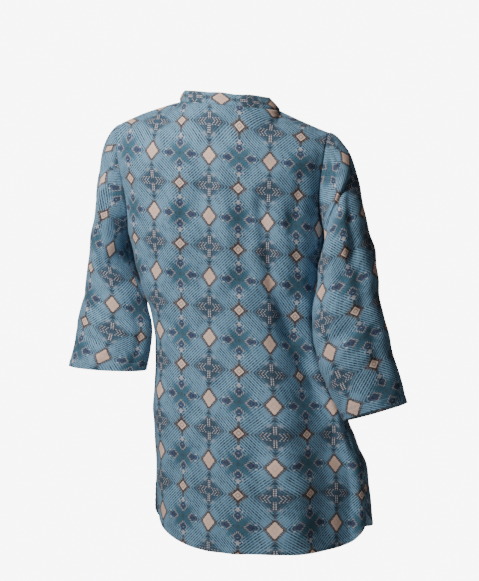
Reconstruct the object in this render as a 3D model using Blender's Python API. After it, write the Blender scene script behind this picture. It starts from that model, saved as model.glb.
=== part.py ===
"""Long casual shirt with a band collar and three-quarter sleeves, as worn and hollow.

Six cloth pieces (back, two fronts, two sleeves, band collar) and eight flat buttons.
Work is in millimetres here and is scaled to metres when a mesh is made.
+Z is up, the front faces -Y, the wearer's left is +X. The origin lies between the two
neck points, on the shoulder line, at mid depth of the neck.
"""
import math

import bmesh
import bpy
import numpy as np
from mathutils import Matrix, Vector

MM = 0.001
CLOTH = 1.6            # wall of every cloth piece
SEAM = 0.17            # each piece stops this far short of a seam line
SEAM_SLEEVE = 0.75     # the sleeves stop further short, at the armhole
SEAM_COLLAR = 0.35     # and so does the collar, at the neck
OVERLAP = 14.0         # each front runs this far past the centre front
LIFT = 2.5             # the upper front stands this far off the lower one
# Last columns of each front, as distances past the centre front
STAND = (-34.0, -16.0, 0.0, OVERLAP)
SQUARE = 2.4           # power of the rounded torso sections

# Mesh rows counted from the top edge down
ROW_CHEST = 5          # end of the shoulder patch
ROW_PIT = 12           # foot of the armhole
ROW_VENT = 27          # foot of the side seam, above the open vent
ROW_HEM = 32
PIT_Z = -242.0
BACK_CHEST_Z = -110.0

# Mesh columns
SHOULDER = 5           # columns along one shoulder seam
BACK_NECK = 10         # columns along the back neck
FRONT_NECK = 6         # columns from the neck point to the button stand

# Neck seam and collar
NECK_HALF = 93.5
NECK_BACK = 72.0
NECK_FRONT = 80.0
NECK_TILT = 10.0       # the left neck point is this much higher, the right one lower
NECK_BACK_DROP = 5.0
NECK_FRONT_DROP = 86.0
COLLAR_HALF = 79.0
COLLAR_BACK = 61.0
COLLAR_FRONT = 70.0
COLLAR_SHIFT = 4.5
COLLAR_RISE = 22.5

TIP_LEFT = (205.0, 6.0, -28.0)
TIP_RIGHT = (-184.0, 6.0, -52.0)
SHOULDER_BOW = {1: 4.0, -1: -1.0}    # rise of each shoulder seam at its middle

# Level sections of the torso: z, left and right extremes, back and front depth,
# x of the centre front, slope of the row, angle of the side seam from the centre back,
# and how far the right back side falls away from the full section
TORSO_COLUMNS = ("z", "left", "right", "back", "front", "centre", "slope", "seam", "away")
TORSO = (
    (-90.0, 219.0, -196.0, 103.0, 108.0, 3.0, 0.05, 90.0, 0.0),
    (-135.0, 208.0, -187.0, 107.0, 122.0, 2.0, 0.05, 90.0, 0.0),
    (-185.0, 194.0, -178.0, 107.0, 134.0, 1.0, 0.05, 90.0, 0.0),
    (-242.0, 186.0, -177.0, 103.0, 139.0, 0.0, 0.05, 90.0, 0.0),
    (-300.0, 174.0, -168.0, 97.0, 136.0, -3.0, 0.04, 89.0, 0.0),
    (-350.0, 157.0, -163.0, 92.0, 130.0, -6.0, 0.03, 87.0, 0.04),
    (-400.0, 142.0, -162.0, 91.0, 125.0, -9.0, 0.02, 84.0, 0.16),
    (-450.0, 136.0, -172.0, 96.0, 122.0, -12.0, 0.01, 81.0, 0.3),
    (-500.0, 138.0, -190.0, 105.0, 121.0, -15.0, 0.01, 79.0, 0.4),
    (-556.0, 139.0, -214.0, 116.0, 121.0, -18.0, 0.0, 77.0, 0.46),
    (-600.0, 136.0, -226.0, 123.0, 122.0, -20.0, 0.0, 75.0, 0.48),
    (-648.0, 132.0, -249.0, 128.0, 124.0, -22.0, 0.0, 73.0, 0.48),
    (-695.0, 131.0, -257.0, 131.0, 125.0, -24.0, 0.0, 73.0, 0.46),
    (-740.0, 131.0, -260.0, 132.0, 126.0, -25.0, 0.0, 73.0, 0.44),
    (-830.0, 131.0, -260.0, 132.0, 127.0, -26.0, 0.0, 73.0, 0.42),
)

BACK_EDGE = 63.5       # armhole edges at the chest, degrees from the centre back
FRONT_EDGE = 125.0
VENT_Z = -686.0        # the side seams end here
VENT_OPEN = 1.6        # degrees each edge stands off the seam line at the hem

HEM_BACK = -798.0
HEM_FRONT = -780.0

# Rise of the hem towards the side: height and power
HEM_RISE = {"back_left": (80.0, 3.0), "back_right": (45.0, 4.0),
            "front_left": (52.0, 3.0), "front_right": (46.0, 3.0)}

# Folds of the torso: panel, two ends (x, z), half width, depth (minus is a trough)
FOLDS = (
    ("back", -100.0, -335.0, -128.0, -455.0, 15.0, -6.0),
    ("back", -128.0, -455.0, -176.0, -530.0, 14.0, -5.0),
    ("back", -140.0, -330.0, -160.0, -440.0, 13.0, 4.0),
    ("back", 150.0, -215.0, 118.0, -330.0, 14.0, -4.0),
    ("back", -20.0, -560.0, -40.0, -800.0, 26.0, 3.5),
    ("back", -165.0, -620.0, -190.0, -800.0, 24.0, -5.0),
    ("back", 70.0, -600.0, 62.0, -800.0, 24.0, -3.5),
    ("front", 120.0, -300.0, 95.0, -760.0, 22.0, -4.0),
    ("front", -130.0, -300.0, -150.0, -760.0, 22.0, -4.0),
    ("front", 60.0, -380.0, 50.0, -780.0, 24.0, 3.5),
    ("front", -90.0, -420.0, -105.0, -780.0, 24.0, 3.5),
)

# Sleeve rings below the armhole: centre, half sizes outward and backward, turn of the
# ring (its back end swings outward), and the lean of its plane (outer and back side up)
RING_COLUMNS = ("x", "y", "z", "out", "deep", "turn", "lean_out", "lean_back")
SLEEVE_LEFT = (
    (219.0, 4.0, -292.0, 37.0, 70.0, 14.0, 8.0, -4.0),
    (211.5, 24.0, -350.0, 58.5, 61.0, 10.0, 6.0, -8.0),
    (206.5, 42.0, -402.0, 70.5, 52.0, 4.0, 5.0, -10.0),
    (209.0, 54.0, -442.0, 71.0, 48.0, 0.0, 4.0, -8.0),
    (214.0, 62.0, -478.0, 72.0, 45.0, 0.0, 3.0, -4.0),
)
SLEEVE_RIGHT = (
    (-223.0, 48.0, -300.0, 50.0, 60.0, -20.0, 8.0, -8.0),
    (-225.0, 61.0, -372.0, 62.0, 54.0, -14.0, 8.0, -6.0),
    (-233.0, 65.0, -424.0, 66.0, 51.0, -8.0, 13.0, -2.0),
    (-252.0, 62.0, -490.0, 63.0, 49.0, -4.0, 16.0, 3.0),
    (-275.0, 54.0, -551.0, 57.0, 48.0, 0.0, 17.0, 6.0),
)
SLEEVE_ROWS_CAP = 8    # rows from the armhole to the first ring
SLEEVE_ROWS_TUBE = 13  # rows from the first ring to the cuff

# Folds along the sleeves: ends (place around in degrees, row), half width, depth
SLEEVE_FOLDS_LEFT = (
    (30.0, 4.0, 40.0, 6.2, 34.0, -11.0),
    (60.0, 1.0, 75.0, 9.0, 12.0, -4.0),
    (20.0, 11.0, 120.0, 13.5, 11.0, -3.0),
    (10.0, 15.0, 100.0, 16.5, 11.0, -2.5),
)
SLEEVE_FOLDS_RIGHT = (
    (330.0, 4.4, 323.0, 6.8, 34.0, -8.0),
    (25.0, 1.5, 85.0, 9.0, 12.0, -5.0),
    (60.0, 0.8, 95.0, 6.0, 11.0, -3.5),
    (20.0, 12.0, 110.0, 14.5, 12.0, -3.0),
)

BUTTON_RADIUS = 5.5
BUTTON_THICK = 2.0
BUTTON_CLEAR = 0.4     # gap between a button and the cloth behind it
# Heights of the centres of button_2 to button_8; button_1 is on the collar band
BUTTON_Z = (-108.0, -192.0, -280.0, -368.0, -456.0, -544.0, -632.0)

PALE_BLUE = (0.20, 0.37, 0.48, 1.0)
DARK_BUTTON = (0.09, 0.16, 0.22, 1.0)


def smooth(x):
    x = min(max(x, 0.0), 1.0)
    return x * x * (3.0 - 2.0 * x)


def mix(a, b, f):
    return a + (b - a) * f


def unit(v):
    return v / max(np.linalg.norm(v), 1e-9)


def spline(rows, key, at):
    """Smooth value of each column of a table at one place of its key column."""
    rows = np.asarray(rows, float)
    keys = rows[:, key]
    if keys[0] > keys[-1]:
        rows = rows[::-1]
        keys = rows[:, key]
    at = min(max(at, keys[0]), keys[-1])
    i = min(max(int(np.searchsorted(keys, at)) - 1, 0), len(keys) - 2)
    width = keys[i + 1] - keys[i]
    t = (at - keys[i]) / width
    a = max(i - 1, 0)
    b = min(i + 2, len(keys) - 1)
    slope0 = (rows[i + 1] - rows[a]) / (keys[i + 1] - keys[a]) * width
    slope1 = (rows[b] - rows[i]) / (keys[b] - keys[i]) * width
    t2 = t * t
    t3 = t2 * t
    return ((2 * t3 - 3 * t2 + 1) * rows[i] + (t3 - 2 * t2 + t) * slope0
            + (3 * t2 - 2 * t3) * rows[i + 1] + (t3 - t2) * slope1)


def section(z):
    return dict(zip(TORSO_COLUMNS, spline(TORSO, 0, z)))


def torso(angle, z):
    """Point of the torso at an angle from the centre back (left positive) and a height."""
    row = section(z)
    s = math.sin(math.radians(angle))
    c = math.cos(math.radians(angle))
    size = (abs(s) ** SQUARE + abs(c) ** SQUARE) ** (1.0 / SQUARE)
    half = (row["left"] - row["right"]) / 2.0
    x = (row["left"] + row["right"]) / 2.0 + half * s / size
    y = (row["back"] if c > 0 else row["front"]) * c / size
    if s < 0 < c:
        far = -s / size
        away = smooth((far - 0.42) / 0.4) * (1.0 - 0.7 * smooth((far - 0.84) / 0.14))
        y *= 1.0 - row["away"] * away
    return np.array([x, y, z + row["slope"] * (half * s / size)])


def centre_angle(z, side, past):
    """Angle of a line beside the centre front; past is measured over the other front."""
    row = section(z)
    half = (row["left"] - row["right"]) / 2.0
    middle = (row["left"] + row["right"]) / 2.0
    x = row["centre"] - side * past
    return side * (180.0 - side * math.degrees(math.asin((x - middle) / half)))


def neck(turn):
    """Point of the neck seam, turn in degrees from the centre back, left positive."""
    s = math.sin(math.radians(turn))
    c = math.cos(math.radians(turn))
    y = (NECK_BACK if c > 0 else NECK_FRONT) * c
    drop = NECK_BACK_DROP * c if c > 0 else NECK_FRONT_DROP * (-c) ** 1.7
    return np.array([NECK_HALF * s, y, NECK_TILT * s - drop])


def neck_turn(side, past):
    return side * (180.0 + math.degrees(math.asin(past / NECK_HALF)))


def shoulder_seam(side, f):
    """Point of a shoulder seam, f running from the tip to the neck point."""
    p = mix(np.array(TIP_LEFT if side > 0 else TIP_RIGHT), neck(90.0 * side), f)
    p[2] += SHOULDER_BOW[side] * 4.0 * f * (1.0 - f)
    return p


def hermite(a, ta, b, tb, t):
    t2 = t * t
    t3 = t2 * t
    return ((2 * t3 - 3 * t2 + 1) * a + (t3 - 2 * t2 + t) * ta
            + (3 * t2 - 2 * t3) * b + (t3 - t2) * tb)


def shoulder_patch(top, leave, foot_at, foot_z, f):
    """Cloth from the top edge down to the chest row, leaving the edge along leave."""
    foot = foot_at(foot_z)
    fall = unit(foot_at(foot_z - 12.0) - foot)
    span = np.linalg.norm(foot - top)
    return hermite(top, unit(leave) * span * 1.15, foot, fall * span * 1.05, f)


def armhole_drop(row):
    """Share of the way from the chest row to the foot of the armhole, and its curve."""
    turn = math.radians((row - ROW_CHEST) / (ROW_PIT - ROW_CHEST) * 90.0)
    fall = 0.75 * math.sin(turn) + 0.25 * turn / math.radians(90.0)
    return fall, math.cos(turn)


def crease(panel, p, outward):
    """Move a point of the torso by the folds that pass near it."""
    move = 0.0
    for name, x0, z0, x1, z1, wide, deep in FOLDS:
        if name != panel:
            continue
        run = np.array([x1 - x0, z1 - z0])
        length = np.linalg.norm(run)
        run = run / length
        rel = np.array([p[0] - x0, p[2] - z0])
        along = float(rel @ run)
        off = float(rel[0] * run[1] - rel[1] * run[0])
        ends = smooth((along + 25.0) / 60.0) * smooth((length + 25.0 - along) / 60.0)
        move += deep * ends * math.exp(-(off / wide) ** 2)
    return p + outward * move


def radial(p, z):
    row = section(max(min(z, -90.0), -830.0))
    middle = (row["left"] + row["right"]) / 2.0
    half = (row["left"] - row["right"]) / 2.0
    depth = row["back"] if p[1] > 0 else row["front"]
    return unit(np.array([(p[0] - middle) / half ** 2, p[1] / depth ** 2, 0.0]))


def vent(z):
    return VENT_OPEN * smooth((VENT_Z - z) / (VENT_Z - HEM_FRONT))


def skirt_z(hem, row):
    """Height of a row below the armhole, on a column that ends at this hem height."""
    if row <= ROW_VENT:
        return mix(PIT_Z, VENT_Z, (row - ROW_PIT) / (ROW_VENT - ROW_PIT))
    return mix(VENT_Z, hem, (row - ROW_VENT) / (ROW_HEM - ROW_VENT))


def back_point(col, row):
    """Back panel; col runs 0 to 20 from the right edge to the left one, row 0 to 32."""
    last = 2 * SHOULDER + BACK_NECK
    u = 2.0 * col / last - 1.0
    side = 1 if u >= 0 else -1
    if row >= ROW_PIT:
        rise, power = HEM_RISE["back_left" if side > 0 else "back_right"]
        hem = HEM_BACK + rise * abs(u) ** power
        z = skirt_z(hem, row)
        seam = section(z)["seam"] - vent(z)
        p = torso(u * seam, z)
    else:
        def foot_at(z):
            return torso(u * BACK_EDGE, z)

        if row > ROW_CHEST:
            fall, curve = armhole_drop(row)
            z = mix(BACK_CHEST_Z, PIT_Z, fall)
            p = torso(u * (90.0 - (90.0 - BACK_EDGE) * curve), z)
        else:
            if col < SHOULDER:
                f = col / SHOULDER
                top = shoulder_seam(-1, f)
            elif col > SHOULDER + BACK_NECK:
                f = (last - col) / SHOULDER
                top = shoulder_seam(1, f)
            else:
                turn = ((col - SHOULDER) / BACK_NECK * 2.0 - 1.0) * 90.0
                top = neck(turn)
                f = 1.0 + math.cos(math.radians(turn))
            steep = smooth((f - 0.6) / 1.4)
            leave = np.array([0.25 * u * steep, mix(0.92, 0.5, steep), mix(-0.38, -0.85, steep)])
            z = BACK_CHEST_Z
            p = shoulder_patch(top, leave, foot_at, z, row / ROW_CHEST)
    return crease("back", p, radial(p, p[2]))


def past_centre(col):
    """How far a column of a front lies past the centre front, minus before it."""
    part = max(col - (SHOULDER + FRONT_NECK), 0.0)
    i = min(int(part), 2)
    return mix(STAND[i], STAND[i + 1], part - i)


def off_lower(past):
    """How far the upper front stands off the lower one at one of its columns."""
    return LIFT * smooth((past - STAND[0]) / (STAND[1] - STAND[0]))


def front_point(side, col, row):
    """Front panel; side +1 is the wearer's left. col 0 is the side, 14 the front edge."""
    past = past_centre(col)
    share = min(col / (SHOULDER + FRONT_NECK), 1.0)

    def angle_at(edge, z):
        inner = centre_angle(z, side, past) * side
        return side * mix(edge, inner, share)

    chest_z = mix(-116.0, -168.0, smooth(share))
    if row >= ROW_PIT:
        rise, power = HEM_RISE["front_left" if side > 0 else "front_right"]
        hem = HEM_FRONT + rise * (1.0 - share) ** power
        z = skirt_z(hem, row)
        p = torso(angle_at(section(z)["seam"] + vent(z), z), z)
    elif row > ROW_CHEST:
        fall, curve = armhole_drop(row)
        z = mix(chest_z, PIT_Z, fall)
        p = torso(angle_at(90.0 + (FRONT_EDGE - 90.0) * curve, z), z)
    else:
        def foot_at(z):
            return torso(angle_at(FRONT_EDGE, z), z)

        if col < SHOULDER:
            top = shoulder_seam(side, col / SHOULDER)
            steep = 0.0
        else:
            end = neck_turn(side, past) * side
            turn = mix(90.0, end, min((col - SHOULDER) / FRONT_NECK, 1.0))
            top = neck(turn * side)
            steep = smooth((turn - 90.0) / 70.0)
        leave = np.array([side * 0.2 * steep * (1.0 - share), mix(-0.9, -0.45, steep),
                          mix(-0.42, -0.88, steep)])
        p = shoulder_patch(top, leave, foot_at, chest_z, row / ROW_CHEST)
    p = crease("front", p, radial(p, p[2]))
    if side < 0:
        p[1] -= off_lower(past)
    return p


def collar_point(col, row):
    """Band collar; col 0 is its left end at the front, 28 its right end, row 0 the seam."""
    fronts = FRONT_NECK + 3
    last = 2 * fronts + BACK_NECK
    if col <= fronts:
        side = 1
        panel_col = SHOULDER + FRONT_NECK + 3 - col
    elif col >= last - fronts:
        side = -1
        panel_col = SHOULDER + FRONT_NECK + 3 - (last - col)
    else:
        side = 0
    if side:
        base = front_point(side, panel_col, 0)
        past = past_centre(panel_col)
        end = neck_turn(side, past) * side
        turn = side * mix(90.0, end, min((panel_col - SHOULDER) / FRONT_NECK, 1.0))
    else:
        back_col = SHOULDER + BACK_NECK - (col - fronts)
        base = back_point(back_col, 0)
        turn = ((back_col - SHOULDER) / BACK_NECK * 2.0 - 1.0) * 90.0
    s = math.sin(math.radians(turn))
    c = math.cos(math.radians(turn))
    top = np.array([COLLAR_SHIFT + COLLAR_HALF * s,
                    (COLLAR_BACK if c > 0 else COLLAR_FRONT) * c,
                    base[2] + COLLAR_RISE - 2.0 * s * (1.0 if c > 0 else 1.0 + c)])
    if side < 0:
        top[1] -= off_lower(past)
    f = row / 3.0
    p = mix(base, top, f)
    bow = 2.0 * math.sin(math.pi * f)
    return p + np.array([s * bow, c * bow, 0.0])


def armhole_point(side, place):
    """Armhole seam; place 0 is the shoulder tip, 12 the armpit, 24 the tip again."""
    if place <= ROW_PIT:
        return back_point(2 * SHOULDER + BACK_NECK if side > 0 else 0, place)
    return front_point(side, 0, 2 * ROW_PIT - place)


def ring_point(side, ring, place):
    """Point of one sleeve ring; place counts as around the armhole."""
    g = dict(zip(RING_COLUMNS, ring))
    around = math.radians(place * 15.0)
    swing = math.radians(g["turn"])
    wide = g["out"] * math.cos(around)
    deep = g["deep"] * math.sin(around)
    out = wide * math.cos(swing) + deep * math.sin(swing)
    back = deep * math.cos(swing) - wide * math.sin(swing)
    lift = (out * math.tan(math.radians(g["lean_out"]))
            + back * math.tan(math.radians(g["lean_back"])))
    return np.array([g["x"] + side * out, g["y"] + back, g["z"] + lift])


def sleeve_point(side, place, row):
    """Sleeve; row 0 is the armhole seam, 8 the first ring, 21 the cuff edge."""
    rings = SLEEVE_LEFT if side > 0 else SLEEVE_RIGHT
    place = place % 24.0
    turn = math.radians(place * 15.0)
    if row < SLEEVE_ROWS_CAP:
        seam = armhole_point(side, place)
        ring = ring_point(side, rings[0], place)
        under = 0.5 - 0.5 * math.cos(turn)
        leave = unit(np.array([side * mix(0.9, 0.62, under), 0.1 * math.sin(turn),
                               mix(-0.42, -0.8, under)]))
        fall = ring_point(side, rings[1], place) - ring
        span = np.linalg.norm(ring - seam)
        # the outer line leaves the seam sideways and turns down in a short round
        first = leave * span * 0.75
        second = unit(fall) * span * mix(1.6, 0.9, under)
        p = hermite(seam, first, ring, second, row / SLEEVE_ROWS_CAP)
        away = unit(p - np.array([rings[0][0] - side * 30.0, rings[0][1] - 10.0, p[2]]))
    else:
        f = (row - SLEEVE_ROWS_CAP) / SLEEVE_ROWS_TUBE * (len(rings) - 1)
        table = [(float(i),) + tuple(r) for i, r in enumerate(rings)]
        g = spline(table, 0, f)[1:]
        p = ring_point(side, g, place)
        away = unit(p - np.array([g[0], g[1], p[2]]))
    folds = SLEEVE_FOLDS_LEFT if side > 0 else SLEEVE_FOLDS_RIGHT
    move = 0.0
    for a0, r0, a1, r1, wide, deep in folds:
        here = np.array([place * 15.0 * 1.1, row * 22.0])
        start = np.array([a0 * 1.1, r0 * 22.0])
        run = np.array([a1 * 1.1, r1 * 22.0]) - start
        length = np.linalg.norm(run)
        run = run / length
        along = float((here - start) @ run)
        off = float((here - start)[0] * run[1] - (here - start)[1] * run[0])
        ends = smooth((along + 15.0) / 40.0) * smooth((length + 15.0 - along) / 40.0)
        move += deep * ends * math.exp(-(off / wide) ** 2)
    return p + away * move * smooth(row / 1.5)


def grid(point, cols, rows):
    return np.array([[point(c, r) for c in cols] for r in rows])


def face_normals(g, closed):
    """Vertex normals of a grid of points, facing by the grid's own order."""
    n = np.zeros_like(g)
    rows, cols = g.shape[:2]
    for i in range(rows - 1):
        for j in range(cols if closed else cols - 1):
            k = (j + 1) % cols
            a, b, c, d = g[i, j], g[i, k], g[i + 1, k], g[i + 1, j]
            face = np.cross(c - a, d - b)
            for at in ((i, j), (i, k), (i + 1, k), (i + 1, j)):
                n[at] += face
    return n / np.maximum(np.linalg.norm(n, axis=2, keepdims=True), 1e-9)


def shell(g, n, inset, closed):
    """Closed cloth wall: outer points, inner points, inset at the edges named."""
    rows, cols = g.shape[:2]
    outer = g.copy()
    for edge, gap in inset.items():
        at, inner = {"top": ((0, slice(None)), (1, slice(None))),
                     "foot": ((-1, slice(None)), (-2, slice(None))),
                     "first": ((slice(None), 0), (slice(None), 1)),
                     "last": ((slice(None), -1), (slice(None), -2))}[edge]
        step = g[inner] - g[at]
        step = step / np.linalg.norm(step, axis=-1, keepdims=True)
        if isinstance(gap, np.ndarray):
            gap = gap[:, None]
        outer[at] = outer[at] + step * gap
    inner = outer - n * CLOTH
    verts = [tuple(p * MM) for p in outer.reshape(-1, 3)]
    verts += [tuple(p * MM) for p in inner.reshape(-1, 3)]
    half = rows * cols
    faces = []

    def at(i, j):
        return i * cols + j % cols

    wide = cols if closed else cols - 1
    for i in range(rows - 1):
        for j in range(wide):
            a, b, c, d = at(i, j), at(i, j + 1), at(i + 1, j + 1), at(i + 1, j)
            faces.append((a, d, c, b))
            faces.append((a + half, b + half, c + half, d + half))
    for j in range(wide):
        a, b = at(0, j), at(0, j + 1)
        faces.append((a, b, b + half, a + half))
        a, b = at(rows - 1, j), at(rows - 1, j + 1)
        faces.append((b, a, a + half, b + half))
    if not closed:
        for i in range(rows - 1):
            a, b = at(i, 0), at(i + 1, 0)
            faces.append((b, a, a + half, b + half))
            a, b = at(i, cols - 1), at(i + 1, cols - 1)
            faces.append((a, b, b + half, a + half))
    return verts, faces


def material(name, colour, roughness):
    mat = bpy.data.materials.new(name)
    mat.use_nodes = True
    node = mat.node_tree.nodes["Principled BSDF"]
    node.inputs["Base Color"].default_value = colour
    node.inputs["Roughness"].default_value = roughness
    node.inputs["Metallic"].default_value = 0.0
    return mat


def add(collection, name, verts, faces, colour, roughness):
    mesh = bpy.data.meshes.new(name)
    mesh.from_pydata(verts, [], faces)
    bm = bmesh.new()
    bm.from_mesh(mesh)
    bmesh.ops.recalc_face_normals(bm, faces=bm.faces)
    bm.to_mesh(mesh)
    bm.free()
    mesh.update()
    mesh.materials.append(material(name, colour, roughness))
    obj = bpy.data.objects.new(name, mesh)
    collection.objects.link(obj)
    mesh.shade_smooth()
    mesh.set_sharp_from_angle(angle=math.radians(50.0))


def weld_normals(grids):
    """Vertex normals of all cloth pieces, shared where two pieces meet in a soft bend."""
    own = {name: face_normals(g, closed) for name, (g, closed) in grids.items()}
    meet = {}
    for name, (g, closed) in grids.items():
        rows, cols = g.shape[:2]
        for i in range(rows):
            for j in range(cols):
                if 0 < i < rows - 1 and (closed or 0 < j < cols - 1):
                    continue
                key = tuple(np.round(g[i, j], 2))
                meet.setdefault(key, []).append((name, i, j))
    shared = {name: n.copy() for name, n in own.items()}
    for places in meet.values():
        if len(places) < 2:
            continue
        for name, i, j in places:
            mine = own[name][i, j]
            total = mine.copy()
            for other, k, m in places:
                theirs = own[other][k, m]
                if (other, k, m) != (name, i, j) and float(theirs @ mine) > 0.15:
                    total += theirs
            total = unit(total)
            shared[name][i, j] = total / max(float(total @ mine), 0.6)
    return shared


def button(collection, name, centre, facing):
    """Flat round button with a raised rim, lying on the cloth."""
    bm = bmesh.new()
    profile = ((0.0, 0.0), (BUTTON_RADIUS - 0.6, 0.0), (BUTTON_RADIUS, 0.7),
               (BUTTON_RADIUS, 1.4), (BUTTON_RADIUS - 0.7, BUTTON_THICK),
               (BUTTON_RADIUS - 1.5, BUTTON_THICK), (BUTTON_RADIUS - 2.1, 1.5), (0.0, 1.5))
    count = 16
    rings = []
    for radius, height in profile:
        if radius == 0.0:
            rings.append([bm.verts.new((0.0, 0.0, height * MM))])
        else:
            rings.append([bm.verts.new((radius * math.cos(k * math.tau / count) * MM,
                                        radius * math.sin(k * math.tau / count) * MM,
                                        height * MM)) for k in range(count)])
    for low, high in zip(rings, rings[1:]):
        for k in range(count):
            m = (k + 1) % count
            if len(low) == 1:
                bm.faces.new((low[0], high[m], high[k]))
            elif len(high) == 1:
                bm.faces.new((low[k], low[m], high[0]))
            else:
                bm.faces.new((low[k], low[m], high[m], high[k]))
    bmesh.ops.recalc_face_normals(bm, faces=bm.faces)
    turn = Vector((0.0, 0.0, 1.0)).rotation_difference(Vector(facing)).to_matrix().to_4x4()
    spot = Vector(centre) + Vector(facing) * BUTTON_CLEAR
    bm.transform(Matrix.Translation(spot * MM) @ turn)
    mesh = bpy.data.meshes.new(name)
    bm.to_mesh(mesh)
    bm.free()
    mesh.materials.append(material(name, DARK_BUTTON, 0.35))
    obj = bpy.data.objects.new(name, mesh)
    collection.objects.link(obj)
    mesh.shade_smooth()
    mesh.set_sharp_from_angle(angle=math.radians(40.0))


def facing_at(point, a, b):
    across = point(a + 0.3, b) - point(a - 0.3, b)
    down = point(a, b + 0.3) - point(a, b - 0.3)
    return unit(np.cross(across, down))


def build():
    for obj in list(bpy.data.objects):
        bpy.data.objects.remove(obj, do_unlink=True)
    collection = bpy.data.collections.new("casual_shirt")
    bpy.context.scene.collection.children.link(collection)

    last = 2 * SHOULDER + BACK_NECK
    fronts = SHOULDER + FRONT_NECK + 3
    rows = range(ROW_HEM + 1)
    sleeve_rows = range(SLEEVE_ROWS_CAP + SLEEVE_ROWS_TUBE + 1)
    # every grid is laid so that its columns run leftwards as seen from outside
    grids = {
        "back": (grid(back_point, range(last + 1), rows), False),
        "front_left": (grid(lambda c, r: front_point(1, c, r), range(fronts + 1), rows), False),
        "front_right": (grid(lambda c, r: front_point(-1, c, r),
                             range(fronts, -1, -1), rows), False),
        "sleeve_left": (grid(lambda c, r: sleeve_point(1, c, r),
                             range(24), sleeve_rows), True),
        "sleeve_right": (grid(lambda c, r: sleeve_point(-1, c, r),
                              range(24, 0, -1), sleeve_rows), True),
        "collar": (grid(collar_point, range(2 * (FRONT_NECK + 3) + BACK_NECK, -1, -1),
                        (3, 2, 1, 0)), False),
    }
    normals = weld_normals(grids)
    seams = {
        "back": {"top": SEAM, "first": SEAM, "last": SEAM},
        "front_left": {"top": SEAM, "first": SEAM},
        "front_right": {"top": SEAM, "last": SEAM},
        "sleeve_left": {"top": SEAM_SLEEVE},
        "sleeve_right": {"top": SEAM_SLEEVE},
        "collar": {"foot": SEAM_COLLAR},
    }
    for name, (g, closed) in grids.items():
        n = normals[name]
        # grids laid the other way round face inwards, so their normals are turned
        middle = g.reshape(-1, 3).mean(axis=0)
        if name in ("back", "front_left", "front_right", "collar"):
            middle = np.array([0.0, 0.0, middle[2]])
        reach = ((g - middle) * n)[..., :2].sum()
        if reach < 0:
            n = -n
        verts, faces = shell(g, n, seams[name], closed)
        add(collection, name, verts, faces, PALE_BLUE, 0.8)

    band = collar_point(2 * (FRONT_NECK + 3) + BACK_NECK - 1, 1.5)
    ahead = collar_point(2 * (FRONT_NECK + 3) + BACK_NECK - 2, 1.5) - band
    up = collar_point(2 * (FRONT_NECK + 3) + BACK_NECK - 1, 2.0) - band
    face = unit(np.cross(up, ahead))
    if face[1] > 0:
        face = -face
    button(collection, "button_1", band, face)
    for number, z in enumerate(BUTTON_Z, start=2):
        low, high = 0.5, ROW_HEM - 0.5
        for _ in range(40):
            centre = (low + high) / 2.0
            if front_point(-1, 13.0, centre)[2] > z:
                low = centre
            else:
                high = centre
        face = facing_at(lambda c, r: front_point(-1, c, r), 13.0, centre)
        if face[1] > 0:
            face = -face
        button(collection, "button_%d" % number, front_point(-1, 13.0, centre), face)


build()
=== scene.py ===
import math

import bmesh
import bpy
import numpy as np
from mathutils import Matrix, Vector


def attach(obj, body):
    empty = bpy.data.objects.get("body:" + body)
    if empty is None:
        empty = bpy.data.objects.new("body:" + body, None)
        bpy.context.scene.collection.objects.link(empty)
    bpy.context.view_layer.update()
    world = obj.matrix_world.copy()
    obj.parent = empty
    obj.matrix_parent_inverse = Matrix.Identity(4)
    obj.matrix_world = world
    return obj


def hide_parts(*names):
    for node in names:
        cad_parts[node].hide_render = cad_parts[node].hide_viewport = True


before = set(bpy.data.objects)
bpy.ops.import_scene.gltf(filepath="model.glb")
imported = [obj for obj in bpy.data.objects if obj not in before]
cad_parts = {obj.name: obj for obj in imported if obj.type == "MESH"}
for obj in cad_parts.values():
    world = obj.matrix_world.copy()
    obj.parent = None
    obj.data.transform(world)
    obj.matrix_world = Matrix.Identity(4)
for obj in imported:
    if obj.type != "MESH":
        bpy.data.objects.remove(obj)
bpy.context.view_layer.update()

# The shown cloth has the form of the solids, worked out in millimetres
MM = 0.001
OVERLAP = 14.0         # each front runs this far past the centre front
LIFT = 2.5             # the upper front stands this far off the lower one
# Last columns of each front, as distances past the centre front
STAND = (-34.0, -16.0, 0.0, OVERLAP)
SQUARE = 2.4           # power of the rounded torso sections

# Mesh rows counted from the top edge down
ROW_CHEST = 5          # end of the shoulder patch
ROW_PIT = 12           # foot of the armhole
ROW_VENT = 27          # foot of the side seam, above the open vent
ROW_HEM = 32
PIT_Z = -242.0
BACK_CHEST_Z = -110.0

# Mesh columns
SHOULDER = 5           # columns along one shoulder seam
BACK_NECK = 10         # columns along the back neck
FRONT_NECK = 6         # columns from the neck point to the button stand
CENTRE_COLUMN = SHOULDER + FRONT_NECK + 2       # the last but one of each front
COLLAR_COLUMNS = 2 * (FRONT_NECK + 3) + BACK_NECK

# Neck seam and collar
NECK_HALF = 93.5
NECK_BACK = 72.0
NECK_FRONT = 80.0
NECK_TILT = 10.0       # the left neck point is this much higher, the right one lower
NECK_BACK_DROP = 5.0
NECK_FRONT_DROP = 86.0
COLLAR_HALF = 79.0
COLLAR_BACK = 61.0
COLLAR_FRONT = 70.0
COLLAR_SHIFT = 4.5
COLLAR_RISE = 22.5

# Shoulder tips, the left one (1) and the right one (-1)
TIP = {1: (205.0, 6.0, -28.0), -1: (-184.0, 6.0, -52.0)}
SHOULDER_BOW = {1: 4.0, -1: -1.0}    # rise of each shoulder seam at its middle

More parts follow.
